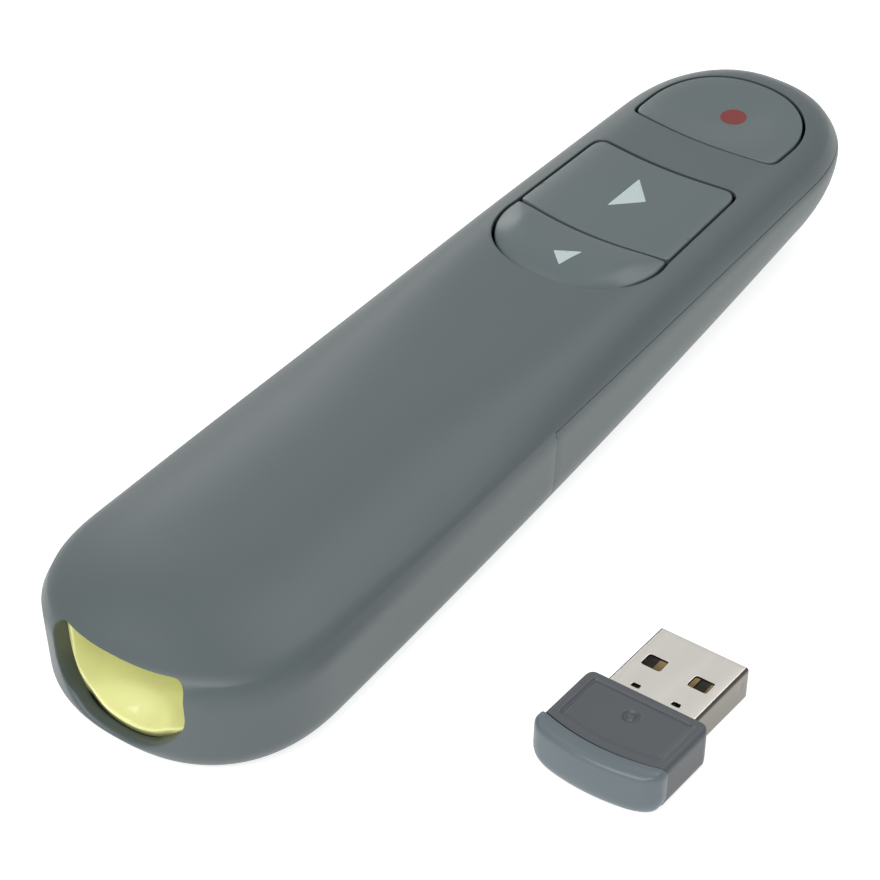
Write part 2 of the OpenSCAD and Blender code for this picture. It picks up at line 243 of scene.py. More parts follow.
def resample(p, step, closed=True):
    q = np.vstack([p, p[:1]]) if closed else p
    s = np.r_[0, np.cumsum(np.linalg.norm(np.diff(q, axis=0), axis=1))]
    n = max(8, int(round(s[-1] / step)))
    u = np.linspace(0, s[-1], n + 1)
    out = np.stack([np.interp(u, s, q[:, k]) for k in range(q.shape[1])], 1)
    return out[:-1] if closed else out


def soft(p, s, step):
    """closed outline with its corners rounded"""
    q = resample(np.asarray(p, float), 0.08)
    m = int(4 * s / 0.08) + 1
    k = np.exp(-0.5 * (np.arange(-m, m + 1) * 0.08 / s) ** 2)
    k /= k.sum()
    out = np.stack([np.convolve(np.r_[q[-m:, c], q[:, c], q[:m, c]], k, "valid") for c in range(2)], 1)
    return resample(out, step)


def area2(p):
    x, y = p[:, 0], p[:, 1]
    return 0.5 * np.sum(x * np.roll(y, -1) - y * np.roll(x, -1))


def offset(p, d):
    """outline moved outwards by d"""
    t = np.roll(p, -1, 0) - np.roll(p, 1, 0)
    t /= np.linalg.norm(t, axis=1, keepdims=True)
    n = np.stack([t[:, 1], -t[:, 0]], 1) * (1 if area2(p) > 0 else -1)
    return p + d * n


def inside(q, poly):
    x, y = q[:, 0][:, None], q[:, 1][:, None]
    a, b = poly, np.roll(poly, -1, 0)
    c = (a[:, 1] > y) != (b[:, 1] > y)
    with np.errstate(divide="ignore", invalid="ignore"):
        xi = a[:, 0] + (y - a[:, 1]) * (b[:, 0] - a[:, 0]) / (b[:, 1] - a[:, 1])
    return (c & (x < xi)).sum(1) % 2 == 1


def far_from(q, poly, d):
    keep = np.ones(len(q), bool)
    for k in range(0, len(poly), 200):
        keep &= (np.linalg.norm(q[:, None] - poly[None, k:k + 200], axis=2) > d).all(1)
    return keep


def cdt(loops, extra):
    """triangles over 2-D points: loops[0] is the outer edge, the others are holes"""
    pts, edges, n = [], [], 0
    for L in loops:
        pts.append(L)
        edges += [(n + i, n + (i + 1) % len(L)) for i in range(len(L))]
        n += len(L)
    pts = np.concatenate(pts + ([extra] if len(extra) else []))
    res = delaunay_2d_cdt([Vector(p) for p in pts], edges, [], 0, 1e-7)
    ov = np.array([list(v) for v in res[0]])
    src = np.array([o[0] if len(o) else -1 for o in res[3]])
    F = np.array([f for f in res[2] if len(f) == 3], int)
    c = ov[F].mean(1)
    keep = inside(c, loops[0])
    for L in loops[1:]:
        keep &= ~inside(c, L)
    return ov, F[keep], src


def hexgrid(x0, x1, y0, y1, s):
    ys = np.arange(y0, y1, s * 0.866)
    pts = [np.stack([np.arange(x0 + (k % 2) * s / 2, x1, s), np.full(len(np.arange(x0 + (k % 2) * s / 2, x1, s)), y)], 1)
           for k, y in enumerate(ys)]
    return np.concatenate(pts)


def patch(loops, lift, spacing, near=(), given=None, margin=0.6):
    """CDT patch: loops with their own 3-D points (or None), lifted by lift(a, b)"""
    l2 = [L[0] for L in loops]
    lo, hi = l2[0].min(0), l2[0].max(0)
    g = hexgrid(lo[0], hi[0], lo[1], hi[1], spacing) if given is None else given
    g = g[inside(g, l2[0])]
    g = g[far_from(g, resample(l2[0], 0.4), margin * spacing)]
    for L in l2[1:]:
        g = g[~inside(g, L)]
    rings = []
    for L, dists in near:
        for dd in dists:
            q = offset(L, dd)
            q = q[inside(q, l2[0])]
            for M in l2[1:]:
                q = q[~inside(q, M)]
            rings.append(q)
    if near:
        last = np.concatenate(rings)
        g = g[far_from(g, last, 0.45 * spacing)]
        for L, _ in near:
            g = g[far_from(g, L, 0.45 * spacing)]
        g = np.concatenate([g] + rings)
    ov, F, src = cdt(l2, g)
    P = lift(ov[:, 0], ov[:, 1])
    base = 0
    for L2, L3 in loops:
        if L3 is not None:
            hit = (src >= base) & (src < base + len(L2))
            P[hit] = L3[src[hit] - base]
        base += len(L2)
    used, inv = np.unique(F, return_inverse=True)
    return P[used], inv.reshape(F.shape)


def make(name, V, F, mat, body, nodes=(), slotname=None, angle=None):
    me = bpy.data.meshes.new(name)
    V = np.asarray(V, float) * MM
    me.vertices.add(len(V))
    me.vertices.foreach_set("co", V.astype(np.float32).ravel())
    me.loops.add(len(F) * 3)
    me.loops.foreach_set("vertex_index", np.asarray(F, np.int32).ravel())
    me.polygons.add(len(F))
    me.polygons.foreach_set("loop_start", np.arange(0, len(F) * 3, 3, dtype=np.int32))
    me.polygons.foreach_set("loop_total", np.full(len(F), 3, dtype=np.int32))
    me.update(calc_edges=True)
    me.validate()
    me.polygons.foreach_set("use_smooth", [True] * len(me.polygons))
    if angle:
        me.set_sharp_from_angle(angle=math.radians(angle))
    me.materials.append(mat)
    o = bpy.data.objects.new(name, me)
    bpy.context.scene.collection.objects.link(o)
    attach(o, body)
    if nodes:
        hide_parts(*nodes)
    return o


# ------------------------------------------------------------------ materials
def principled(name, build):
    m = bpy.data.materials.new(name)
    m.use_nodes = True
    nt = m.node_tree
    bsdf = nt.nodes["Principled BSDF"]
    build(nt, bsdf)
    return m


def grainy(name, rgb, rough, spread=0.06, scale=900.0, bump=0.02, metallic=0.0, coat=0.0, spec=0.5,
           detail=3.0, ior=1.5, sub=0.0, stretch=(1, 1, 1), coat_rough=0.1, rough_spread=0.06, dist=0.00004):
    """procedural finish: noise moves the colour, the roughness and the surface a little"""
    def build(nt, b):
        tc = nt.nodes.new("ShaderNodeTexCoord")
        mp = nt.nodes.new("ShaderNodeMapping")
        mp.inputs["Scale"].default_value = stretch
        nz = nt.nodes.new("ShaderNodeTexNoise")
        nz.inputs["Scale"].default_value = scale
        nz.inputs["Detail"].default_value = detail
        wide = nt.nodes.new("ShaderNodeTexNoise")
        wide.inputs["Scale"].default_value = scale * 0.04
        ramp = nt.nodes.new("ShaderNodeMix")
        ramp.data_type = "RGBA"
        ramp.inputs[6].default_value = (*[c * (1 - spread) for c in rgb], 1)
        ramp.inputs[7].default_value = (*[min(1, c * (1 + spread)) for c in rgb], 1)
        mixf = nt.nodes.new("ShaderNodeMath")
        mixf.operation = "MULTIPLY_ADD"
        mixf.inputs[1].default_value = 0.5
        half = nt.nodes.new("ShaderNodeMath")
        half.operation = "MULTIPLY"
        half.inputs[1].default_value = 0.5
        rr = nt.nodes.new("ShaderNodeMapRange")
        rr.inputs["To Min"].default_value = max(0.02, rough - rough_spread)
        rr.inputs["To Max"].default_value = rough + rough_spread
        bp = nt.nodes.new("ShaderNodeBump")
        bp.inputs["Strength"].default_value = bump
        bp.inputs["Distance"].default_value = dist
        L = nt.links.new
        L(tc.outputs["Object"], mp.inputs["Vector"])
        L(mp.outputs["Vector"], nz.inputs["Vector"])
        L(mp.outputs["Vector"], wide.inputs["Vector"])
        L(wide.outputs["Fac"], half.inputs[0])
        L(nz.outputs["Fac"], mixf.inputs[0])
        L(half.outputs[0], mixf.inputs[2])
        L(mixf.outputs[0], ramp.inputs[0])
        L(ramp.outputs[2], b.inputs["Base Color"])
        L(nz.outputs["Fac"], rr.inputs["Value"])
        L(rr.outputs["Result"], b.inputs["Roughness"])
        L(nz.outputs["Fac"], bp.inputs["Height"])
        L(bp.outputs["Normal"], b.inputs["Normal"])
        b.inputs["Metallic"].default_value = metallic
        b.inputs["Coat Weight"].default_value = coat
        b.inputs["Coat Roughness"].default_value = coat_rough
        b.inputs["Specular IOR Level"].default_value = spec
        b.inputs["IOR"].default_value = ior
        if sub:
            b.inputs["Subsurface Weight"].default_value = sub
            b.inputs["Subsurface Radius"].default_value = (0.002, 0.002, 0.0008)
            b.inputs["Subsurface Scale"].default_value = 1.0
    return principled(name, build)


BODY = (0.074, 0.094, 0.097)
m_case = grainy("casing_satin", BODY, 0.42, spread=0.05, scale=2600, bump=0.10, spec=0.5)
m_key = grainy("key_satin", (0.092, 0.116, 0.120), 0.31, spread=0.05, scale=2600, bump=0.08, spec=0.5)
m_lime_painted_glow = grainy("lime_gloss_painted_glow", (0.76, 0.77, 0.32), 0.12, spread=0.03, scale=300, bump=0.01, spec=0.6, coat=0.6, coat_rough=0.03, sub=0.15)
m_icon = grainy("icon_print", (0.40, 0.475, 0.475), 0.5, spread=0.02, scale=2500, bump=0.02)
m_red = grainy("red_print", (0.16, 0.013, 0.012), 0.5, spread=0.03, scale=2500, bump=0.02)
m_case_r = grainy("receiver_plastic", (0.060, 0.068, 0.076), 0.42, spread=0.05, scale=2600, bump=0.08)
m_nose = grainy("receiver_nose", (0.096, 0.124, 0.139), 0.36, spread=0.05, scale=2600, bump=0.06)
m_plug = grainy("plug_nickel", (0.88, 0.85, 0.79), 0.24, spread=0.02, scale=700, bump=0.01, metallic=1.0, stretch=(1, 0.08, 1))
# darker copies of the same nickel for the plug's sides and bends: painted shade
m_plug_painted_shade_side = grainy("plug_nickel_painted_shade_side", (0.22, 0.207, 0.182), 0.34, spread=0.05, scale=500, bump=0.02, metallic=1.0, stretch=(1, 0.15, 1))
m_plug_painted_shade_bend = grainy("plug_nickel_painted_shade_bend", (0.11, 0.10, 0.09), 0.3, spread=0.05, scale=500, bump=0.02, metallic=1.0, stretch=(1, 0.15, 1))
m_black = grainy("black_plastic", (0.02, 0.018, 0.017), 0.5, spread=0.1, scale=1500, bump=0.05)
m_gold = grainy("gold_contact", (0.30, 0.22, 0.11), 0.3, spread=0.05, scale=1500, bump=0.02, metallic=1.0)
m_steel = grainy("steel", (0.55, 0.55, 0.54), 0.3, spread=0.06, scale=1200, bump=0.03, metallic=1.0)
m_board = grainy("board_green", (0.02, 0.09, 0.04), 0.4, spread=0.15, scale=700, bump=0.05, coat=0.3)
m_dark = grainy("dark_plastic", (0.055, 0.06, 0.062), 0.5, spread=0.08, scale=1500, bump=0.05)
m_cell = grainy("cell_jacket", (0.05, 0.07, 0.08), 0.35, spread=0.1, scale=500, bump=0.02, coat=0.4)
m_brass = grainy("brass", (0.62, 0.45, 0.18), 0.28, spread=0.06, scale=900, bump=0.03, metallic=1.0)
m_lens = grainy("lens", (0.5, 0.56, 0.6), 0.06, spread=0.02, scale=500, bump=0.0, coat=0.5)
m_red_glass = grainy("laser_window", (0.16, 0.01, 0.012), 0.08, spread=0.05, scale=500, bump=0.0, coat=0.6)
# the lime liner glows a little: emission as painted light that brightens the lime seen in the mouth
m_lime_painted_glow.node_tree.nodes["Principled BSDF"].inputs["Emission Color"].default_value = (0.9, 0.9, 0.42, 1)
m_lime_painted_glow.node_tree.nodes["Principled BSDF"].inputs["Emission Strength"].default_value = 0.12

# ------------------------------------------------------------------ columns and rows
SEAM_G = 0.07
te = math.acos(-(SEAM_Y - SEAM_G) / HL)
Yt = -HL * np.cos(np.linspace(0, te, 62))
tf = math.acos(-(SEAM_Y + SEAM_G) / HL)
Yf = -HL * np.cos(np.linspace(tf, math.pi, 84))
Yall = np.r_[Yt, Yf]
EDGE = 0.10      # rounding of the seam edges
Z_SEAM_TOP, Z_SEAM_LOW, Z_SKIRT = 14.21, 14.15, 0.98
F_IN = 0.85


def z_ring(yc, f):
    """height of the crown ring f in each column"""
    y = np.asarray(yc, float)
    b = 1 - ss((np.abs(y) - 40) / 20)
    yo = y.copy()
    for _ in range(6):
        yo = y / (1 - wlin(yo) * (1 - f) * b / HL)
    return ZC + CH * (1 - f ** pw(yo))


def around(cols, zrow):
    """points of a closed row: right side from tail to laser end, left side back"""
    z = np.broadcast_to(zrow, cols.shape)
    right, left = S(cols, z, 1.0), S(cols, z, -1.0)
    return np.concatenate([right, left[::-1][1:-1]])


# rows of the upper band, from the crown ring down to the seam height
up = np.linspace(0, 1, 15)
# rows of the tail sides, from the seam height to the lower edge
def low_rows(cols, z1, z0):
    v = rv(cols)
    a0 = np.arcsin(np.clip(1 - z0 / v, 0, 1))
    rows = [z1 + (v - z1) * u for u in np.linspace(0, 1, 7)]
    rows += [v * (1 - np.sin(a0 * u)) for u in np.linspace(0, 1, 10)[1:]]
    return rows


SECT = int(np.argmax(S(Yt, 13.0)[:, 0] > 12.8))     # tail patch reaches this column
tail_cols = Yt[SECT:]
z_top_of = lambda cols: z_ring(cols, F_IN)
parts = []
# band A: all columns outside the tail patch
colsA = Yall[SECT:]
zt = z_top_of(colsA)
rowsA = [zt + (Z_SEAM_TOP + EDGE - zt) * u for u in up]
for sg in (1.0, -1.0):
    P = np.stack([S(colsA, z, sg) for z in rowsA])
    V, F = tri_grid(P)
    parts.append(outward(V, F, np.array([0, 0, 7.0])))
# band B: tail columns, below the seam height
rowsB = low_rows(tail_cols, Z_SEAM_TOP + EDGE, Z_SKIRT + EDGE)
for sg in (1.0, -1.0):
    P = np.stack([S(tail_cols, z, sg) for z in rowsB])
    V, F = tri_grid(P)
    parts.append(outward(V, F, np.array([0, 0, 7.0])))


# mouth in the tail
def mouth_pts():
    a = np.radians(np.arange(180, 361, 4))
    low = np.stack([9.3 * np.cos(a), 10 + 7.1 * np.sin(a)], 1)
    c = np.radians(np.arange(0, 91, 10))
    tr = np.stack([7.8 + 1.5 * np.cos(c), 13.2 + 1.5 * np.sin(c)], 1)
    tl = np.stack([-7.8 - 1.5 * np.sin(c), 13.2 + 1.5 * np.cos(c)], 1)
    return np.concatenate([low, tr, tl])


def lip_r(z):
    """rounding of the mouth's edge, larger on the lower lip"""
    return 0.22 + 0.66 * ss((6.6 - z) / 3.0)


def lip_deep(x):
    """the wall of the mouth is deeper at its sides"""
    return 0.6 * np.minimum(np.abs(x) / 9.3, 1) ** 2


mouth = soft(mouth_pts(), 0.3, 0.45)
mouth_out = offset(mouth, lip_r(mouth[:, 1:2]) + 0.05)
colsT = Yt[:SECT + 1]
ztT = z_top_of(colsT)
rowsT = [ztT + (Z_SEAM_TOP + EDGE - ztT) * u for u in up] + low_rows(colsT, Z_SEAM_TOP + EDGE, Z_SKIRT + EDGE)[1:]
gridR = np.stack([S(colsT, z, 1.0) for z in rowsT])
gridL = np.stack([S(colsT, z, -1.0) for z in rowsT])
full = np.concatenate([gridL[:, ::-1][:, :-1], gridR], 1)      # left to right
loop3 = np.concatenate([full[0], full[1:-1, -1], full[-1][::-1], full[1:-1, 0][::-1]])
loop2 = loop3[:, [0, 2]]
inner3 = full[1:-1, 1:-1].reshape(-1, 3)
g2 = inner3[:, [0, 2]]
lift_tail = lambda a, b: np.stack([a, end_y(a, b, False), b], 1)
V, F = patch([(loop2, loop3), (mouth_out, None)], lift_tail, 0.8, near=[(mouth_out, (0.3, 0.75))], given=g2, margin=0.15)
parts.append(outward(V, F, np.array([0, -40, 9.0])))


# ---- buttons' outlines
def bow(x, w, d):
    return d * (1 - (x / w) ** 2)


def back_pts(g):
    x = np.linspace(-11.35 - g, 11.35 + g, 25)
    top = np.stack([x, 24.3 - 0.17 + g * 0.5 - bow(x, 11.35 + g, 1.5)], 1)
    a = -np.radians(np.linspace(7.5, 172.5, 45))
    c, s = np.cos(a), np.sin(a)
    return np.concatenate([top, np.stack([np.sign(c) * np.abs(c) ** (2 / 2.4) * (11.6 + g), 23.5 - np.abs(s) ** (2 / 2.4) * (11.2 + g)], 1)])


def next_side(g):
    x = np.linspace(-9.8, 9.8, 25)
    return np.concatenate([[[-10.85 - g, 39.9], [-10.65 - g, 40.8 + g]],
                           np.stack([x, 41.5 + g - bow(x, 9.8, 0.9)], 1),
                           [[10.65 + g, 40.8 + g], [10.85 + g, 39.9]]])


def next_pts(g):
    x = np.linspace(11.35 + g, -11.35 - g, 25)
    return np.concatenate([np.stack([x, 24.3 + 0.17 - g * 0.5 - bow(x, 11.35 + g, 1.5)], 1), next_side(g)])


def laser_pts(g):
    x = np.linspace(9.4, -9.4, 25)
    a = np.radians(np.linspace(180, 0, 49))
    c, s = np.cos(a), np.sin(a)
    return np.concatenate([np.stack([x, 49.6 - g - bow(x, 9.4, 0.9)], 1), [[-10.4 - g, 50 - g * 0.6], [-10.8 - g, 51]],
                           np.stack([np.sign(c) * np.abs(c) ** (2 / 2.2) * (10.8 + g), 54 + np.abs(s) ** (2 / 2.2) * (10.8 + g)], 1),
                           [[10.8 + g, 51], [10.4 + g, 50 - g * 0.6]]])


GAP, HR = 0.34, 0.11
a = -np.radians(np.linspace(4, 176, 49))
c, s = np.cos(a), np.sin(a)
pair = np.concatenate([[[11.35 + GAP, 24.3]], np.stack([np.sign(c) * np.abs(c) ** (2 / 2.4) * (11.6 + GAP), 23.5 - np.abs(s) ** (2 / 2.4) * (11.2 + GAP)], 1),
                       [[-11.35 - GAP, 24.3]], next_side(GAP)])
hole1 = offset(soft(pair, 0.32, 0.4), HR)
hole2 = offset(soft(laser_pts(GAP), 0.32, 0.4), HR)
ring3 = np.concatenate([S(Yall, z_top_of(Yall), 1.0), S(Yall, z_top_of(Yall), -1.0)[::-1][1:-1]])
lift_crown = lambda a, b: np.stack([a, b, crown_z(a, b)], 1)
V, F = patch([(ring3[:, :2], ring3), (hole1, None), (hole2, None)], lift_crown, 0.95,
             near=[(hole1, (0.25, 0.6)), (hole2, (0.25, 0.6))])
parts.append(outward(V, F, np.array([0, 0, 7.0])))
V, F = weld(*join(parts))


def shell_dir(V, n):
    w = -n.copy()
    key = (np.abs(V[:, 0]) < 12.4) & (V[:, 1] > 10) & (V[:, 1] < 66) & (V[:, 2] > 15.5)
    w[key] = (0, 0, -1)
    m = (np.abs(V[:, 0]) < 10.5) & (V[:, 1] < -60) & (V[:, 2] > 1.6) & (V[:, 2] < 15.1)
    w[m] = (0, 1, 0)
    return w


def shell_depth(V, T):
    m = (np.abs(V[:, 0]) < 10.5) & (V[:, 1] < -60) & (V[:, 2] > 1.6) & (V[:, 2] < 15.1)
    return np.where(m, 1.95 + lip_deep(V[:, 0]), T)


# edges of the seam are rounded less than the mouth and the key openings: done by growing the outlines above
lip = (np.abs(V[:, 0]) < 10.6) & (V[:, 1] < -60) & (V[:, 2] > 1.6) & (V[:, 2] < 15.4)
Vt, Ft = thick(V, F, 1.3, np.where(lip, lip_r(V[:, 2]), 0.12), shell_dir, shell_depth)
make("casing_top", Vt, Ft, m_case, "clicker", ["top_shell"], "casing")

# ------------------------------------------------------------------ lower casing
parts = []
LOWCUT = EDGE
zr = [rv(Yf) * (1 - math.sin(math.radians(q))) for q in np.linspace(90, 0, 17)]
zside = [rv(Yf) + (Z_SEAM_LOW - EDGE - rv(Yf)) * u for u in np.linspace(0, 1, 9)[1:]]
rowsL = zr + zside
FS = int(np.argmax(S(Yf, 10.0)[:, 0] < 6.5)) if (S(Yf, 10.0)[:, 0] < 6.5).any() else len(Yf) - 8
K0, K1 = 8, len(rowsL) - 1
gR = np.stack([S(Yf, z, 1.0) for z in rowsL])
gL = np.stack([S(Yf, z, -1.0) for z in rowsL])
# right side, whole, apart from the nose patch
V, F = tri_grid(gR[:, :FS + 1])
parts.append(outward(V, F, np.array([0, 0, 7.0])))
# left side with the slot of the power knob
j0, j1 = int(np.searchsorted(Yf, 14.0)), int(np.searchsorted(Yf, 30.0))
k0 = 12
V, F = tri_grid(gL[:k0 + 1, :FS + 1])
parts.append(outward(V, F, np.array([0, 0, 7.0])))
for jj in ((0, j0), (j1, FS)):
    V, F = tri_grid(gL[k0:, jj[0]:jj[1] + 1])
    parts.append(outward(V, F, np.array([0, 0, 7.0])))
sub = gL[k0:, j0:j1 + 1]
loop3 = np.concatenate([sub[0], sub[1:-1, -1], sub[-1][::-1], sub[1:-1, 0][::-1]])
slot_o = soft(np.array([[19.35, 11.75], [24.65, 11.75], [24.65, 13.35], [19.35, 13.35]]), 0.2, 0.25)
slot_h = offset(slot_o, 0.12)
V, F = patch([(loop3[:, [1, 2]], loop3), (slot_h, None)], lambda a, b: np.stack([-side_x(a, b), a, b], 1), 0.6,
             near=[(slot_h, (0.2,))], given=sub[1:-1, 1:-1].reshape(-1, 3)[:, [1, 2]], margin=0.1)
parts.append(outward(V, F, np.array([0, 0, 7.0])))
# nose: lower rows, then the patch with the laser's exit
noseL, noseR = gL[:, FS:], gR[:, FS:]
nose = np.concatenate([noseL, noseR[:, ::-1][:, 1:]], 1)
V, F = tri_grid(nose[:K0 + 1])
parts.append(outward(V, F, np.array([0, 40, 7.0])))
sub = nose[K0:]
loop3 = np.concatenate([sub[0], sub[1:-1, -1], sub[-1][::-1], sub[1:-1, 0][::-1]])
t = np.radians(np.arange(0, 360, 9))
exit_o = np.stack([1.5 * np.cos(t), 10.2 + 1.5 * np.sin(t)], 1)
exit_h = offset(exit_o, 0.12)
V, F = patch([(loop3[:, [0, 2]], loop3), (exit_h, None)], lambda a, b: np.stack([a, end_y(a, b, True), b], 1), 0.6,
             near=[(exit_h, (0.2,))], given=sub[1:-1, 1:-1].reshape(-1, 3)[:, [0, 2]], margin=0.1)
parts.append(outward(V, F, np.array([0, 40, 7.0])))
# underside with the battery cover's opening
LW, LF = 12.06, -1.6
front_r, front_l = gR[0], gL[0]
zlow = np.linspace(0, Z_SKIRT - 0.05 - EDGE, 6)
stepR = np.stack([S(Yf[0], z, 1.0) for z in zlow])[1:]
tz = Z_SKIRT - 0.05 - EDGE
tailR = S(Yt[::-1], tz, 1.0)
tailR[:, 1] = np.where(np.arange(len(tailR)) == 0, tailR[:, 1], tailR[:, 1])
tailR = tailR[(tailR[:, 0] > LW + 0.15) & (tailR[:, 1] < SEAM_Y - 0.5)]
ye = tailR[-1, 1]
yy = np.linspace(ye, LF, 44)
edgeR = np.stack([np.full(44, LW), yy, bottom_z(np.full(44, LW), yy)], 1)
xx = np.linspace(LW, -LW, 17)[1:-1]
edgeF = np.stack([xx, np.full(15, LF), 0 * xx], 1)
right = np.concatenate([front_r[::-1], stepR, tailR])
left = right * [-1, 1, 1]
loop3 = np.concatenate([right, edgeR, edgeF, (edgeR * [-1, 1, 1])[::-1], left[::-1][:-1]])
V, F = patch([(loop3[:, :2], loop3)], lambda a, b: np.stack([a, b, bottom_z(a, b)], 1), 1.6)
n = face_n(V, F)
parts.append((V, F if n[:, 2].sum() < 0 else F[:, ::-1]))
V, F = weld(*join(parts))
Vb, Fb = thick(V, F, 1.2, 0.10)
rails = []


def block(x0, x1, y0, y1, z0, z1, c=0.12):
    """box with chamfered edges"""
    P = []
    for z, k in ((z0, c), (z0 + c, 0), (z1 - c, 0), (z1, c)):
        P.append([(x0 + k + c, y0 + k, z), (x1 - k - c, y0 + k, z), (x1 - k, y0 + k + c, z), (x1 - k, y1 - k - c, z),
                  (x1 - k - c, y1 - k, z), (x0 + k + c, y1 - k, z), (x0 + k, y1 - k - c, z), (x0 + k, y0 + k + c, z)])
    P = np.array(P, float)
    V, F = tri_grid(P, True)
    cap = np.array([[0, i, i + 1] for i in range(1, 7)])
    V, F = V, np.concatenate([F, cap, cap[:, ::-1] + 24])
    return outward(V, F, V.mean(0))


for sg in (1, -1):
    xs = sorted((12.1 * sg, 14.25 * sg))
    rails.append(block(xs[0], xs[1], -60, -8.4, 1.27, 2.6))
make("casing_bottom", *join([(Vb, Fb)] + rails), m_case, "clicker", ["bottom_shell"], "casing")


# ------------------------------------------------------------------ keys
def key(name, outline, zf, body, node, r=0.18, depth=2.0, spacing=0.7, mat=None):
    edge = offset(soft(outline, 0.32, 0.4), -0.05)
    in_ = offset(edge, -r)
    V, F = patch([(in_, None)], lambda a, b: np.stack([a, b, zf(a, b)], 1), spacing, near=[(in_, (-0.2, -0.5))])
    n = face_n(V, F)
    if n[:, 2].sum() < 0:
        F = F[:, ::-1]
    Vk, Fk = thick(V, F, depth, r, lambda V, n: np.tile([0, 0, -1.0], (len(V), 1)), lambda V, T: V[:, 2] - 14.62)
    return make(name, Vk, Fk, mat or m_key, body, [node], "button")


def z_next(x, y):
    return crown_z(x, y) - 0.06


def z_back(x, y):
    top = 24.13 - bow(x, 11.35, 1.5)
    low = 23.5 - 11.2 * np.clip(1 - np.clip(np.abs(x) / 11.6, 0, 1) ** 2.4, 0.002, 1) ** (1 / 2.4)
    t = np.clip((top - y) / np.maximum(top - low, 0.3), 0, 1)
    return crown_z(x, y) - 0.06 + (0.5 * np.sin(math.pi * t ** 0.8) - 0.8 * t ** 6) * ss((11.7 - np.abs(x)) / 4)


def z_laser(x, y):
    q = np.sqrt((x / 10.6) ** 2 + (np.where(y > 56.6, (y - 56.6) / 8.0, (56.6 - y) / 8.2)) ** 2)
    return crown_z(x, y) - 0.06 - 0.75 * (1 - ss(np.clip(q, 0, 1)))


key("key_laser", laser_pts(0), z_laser, "laser_key", "laser_button")
key("key_next", next_pts(0), z_next, "next_key", "next_button")
key("key_back", back_pts(0), z_back, "back_key", "back_button")


def decal(name, outline, zf, body, mat, s=0.12, lift=0.03, spacing=0.4):
    o = soft(outline, s, 0.15)
    V, F = patch([(o, None)], lambda a, b: np.stack([a, b, zf(a, b) + lift], 1), spacing)
    if face_n(V, F)[:, 2].sum() < 0:
        F = F[:, ::-1]
    Vd, Fd = thick(V, F, 0.08, 0.01, lambda V, n: np.tile([0, 0, -1.0], (len(V), 1)))
    return make(name, Vd, Fd, mat, body, (), "button")


decal("icon_next", np.array([(-1.27, 29.46), (2.31, 32.97), (-1.15, 36.66)]), z_next, "next_key", m_icon)
decal("icon_back", np.array([(-0.92, 16.83), (1.15, 15.05), (2.26, 18.62)]), z_back, "back_key", m_icon)
t = np.radians(np.arange(0, 360, 10))
decal("dot_laser", np.stack([0.45 + 1.75 * np.cos(t), 56.85 + 1.75 * np.sin(t)], 1), z_laser, "laser_key", m_red)

# ------------------------------------------------------------------ lime liner
phi = np.radians(np.linspace(0, -180, 73))


def bay_radius(ph):
    """radius of the straight bay's U outline, centre (0, 10)"""
    w, z0, r = 8.9, 5.6 - 10, 3.2
    c, s = np.cos(ph), np.sin(ph)
    out = np.full_like(ph, 1e9)
    with np.errstate(divide="ignore", invalid="ignore"):
        out = np.minimum(out, np.where(np.abs(c) > 1e-9, w / np.abs(c), 1e9))
        out = np.minimum(out, np.where(s < -1e-9, z0 / s, 1e9))
    cx, cz = w - r, z0 + r
    px, pz = np.abs(c), s
    b = px * cx + pz * cz
    disc = b * b - (cx * cx + cz * cz - r * r)
    far = b + np.sqrt(np.maximum(disc, 0))
    x, z = px * out, pz * out
    corner = (x > cx) & (z < cz)
    return np.where(corner, np.minimum(out, far), out)


def liner_row(y):
    s = math.sqrt(max(0.0, 1 - ((y + 72) / 9.5) ** 2)) if abs(y + 72) < 9.5 else 0.0
    rb = bay_radius(phi)
    if s > 0.05:
        rs = 1 / np.sqrt((np.cos(phi) / (9.3 * s)) ** 2 + (np.sin(phi) / (7 * s)) ** 2)
        k = 0.5
        r = np.logaddexp(rb / k, rs / k) * k - 0.0
        r = np.where(np.abs(rb - rs) > 4, np.maximum(rb, rs), r)
        r = np.minimum(r, 1 / np.sqrt((np.cos(phi) / 9.3) ** 2 + (np.sin(phi) / 7.0) ** 2) - 0.05)
    else:
        r = rb
    x, z = r * np.cos(phi), 10 + r * np.sin(phi)
    up_z = np.linspace(14.55, 10, 12)[:-1]
    xs = np.concatenate([np.full(11, x[0]), x, np.full(11, x[-1])])
    zs = np.concatenate([up_z, z, up_z[::-1]])
    return xs, zs


ys = np.concatenate([np.linspace(0, 1, 40) ** 1.0])
rows = []
front_gap = 2.25
for u in ys:
    yb = -57.7
    xs, zs = liner_row(-69.0 + u * 11.3)
    fy = end_y(xs, np.clip(zs, 3.0, 14.2), False) + front_gap + lip_deep(xs)
    y = fy + (yb - fy) * u
    # the section is taken at each point's own depth
    rows.append([xs, y, zs])
rows = np.array(rows)
out = []
for k in range(rows.shape[0]):
    xs, y, zs = rows[k]
    xx, zz = [], []
    for j in range(len(xs)):
        a_, b_ = liner_row(float(y[j]))
        xx.append(a_[j])
        zz.append(b_[j])
    out.append(np.stack([xx, y, zz], 1))
P = np.array(out)
V, F = tri_grid(P)
V, F = weld(V, F)
n = face_n(V, F)
if (n * (np.array([0, -64, 12.0]) - V[F].mean(1))).sum() < 0:
    F = F[:, ::-1]
Vl, Fl = thick(V, F, 1.2, 0.2)
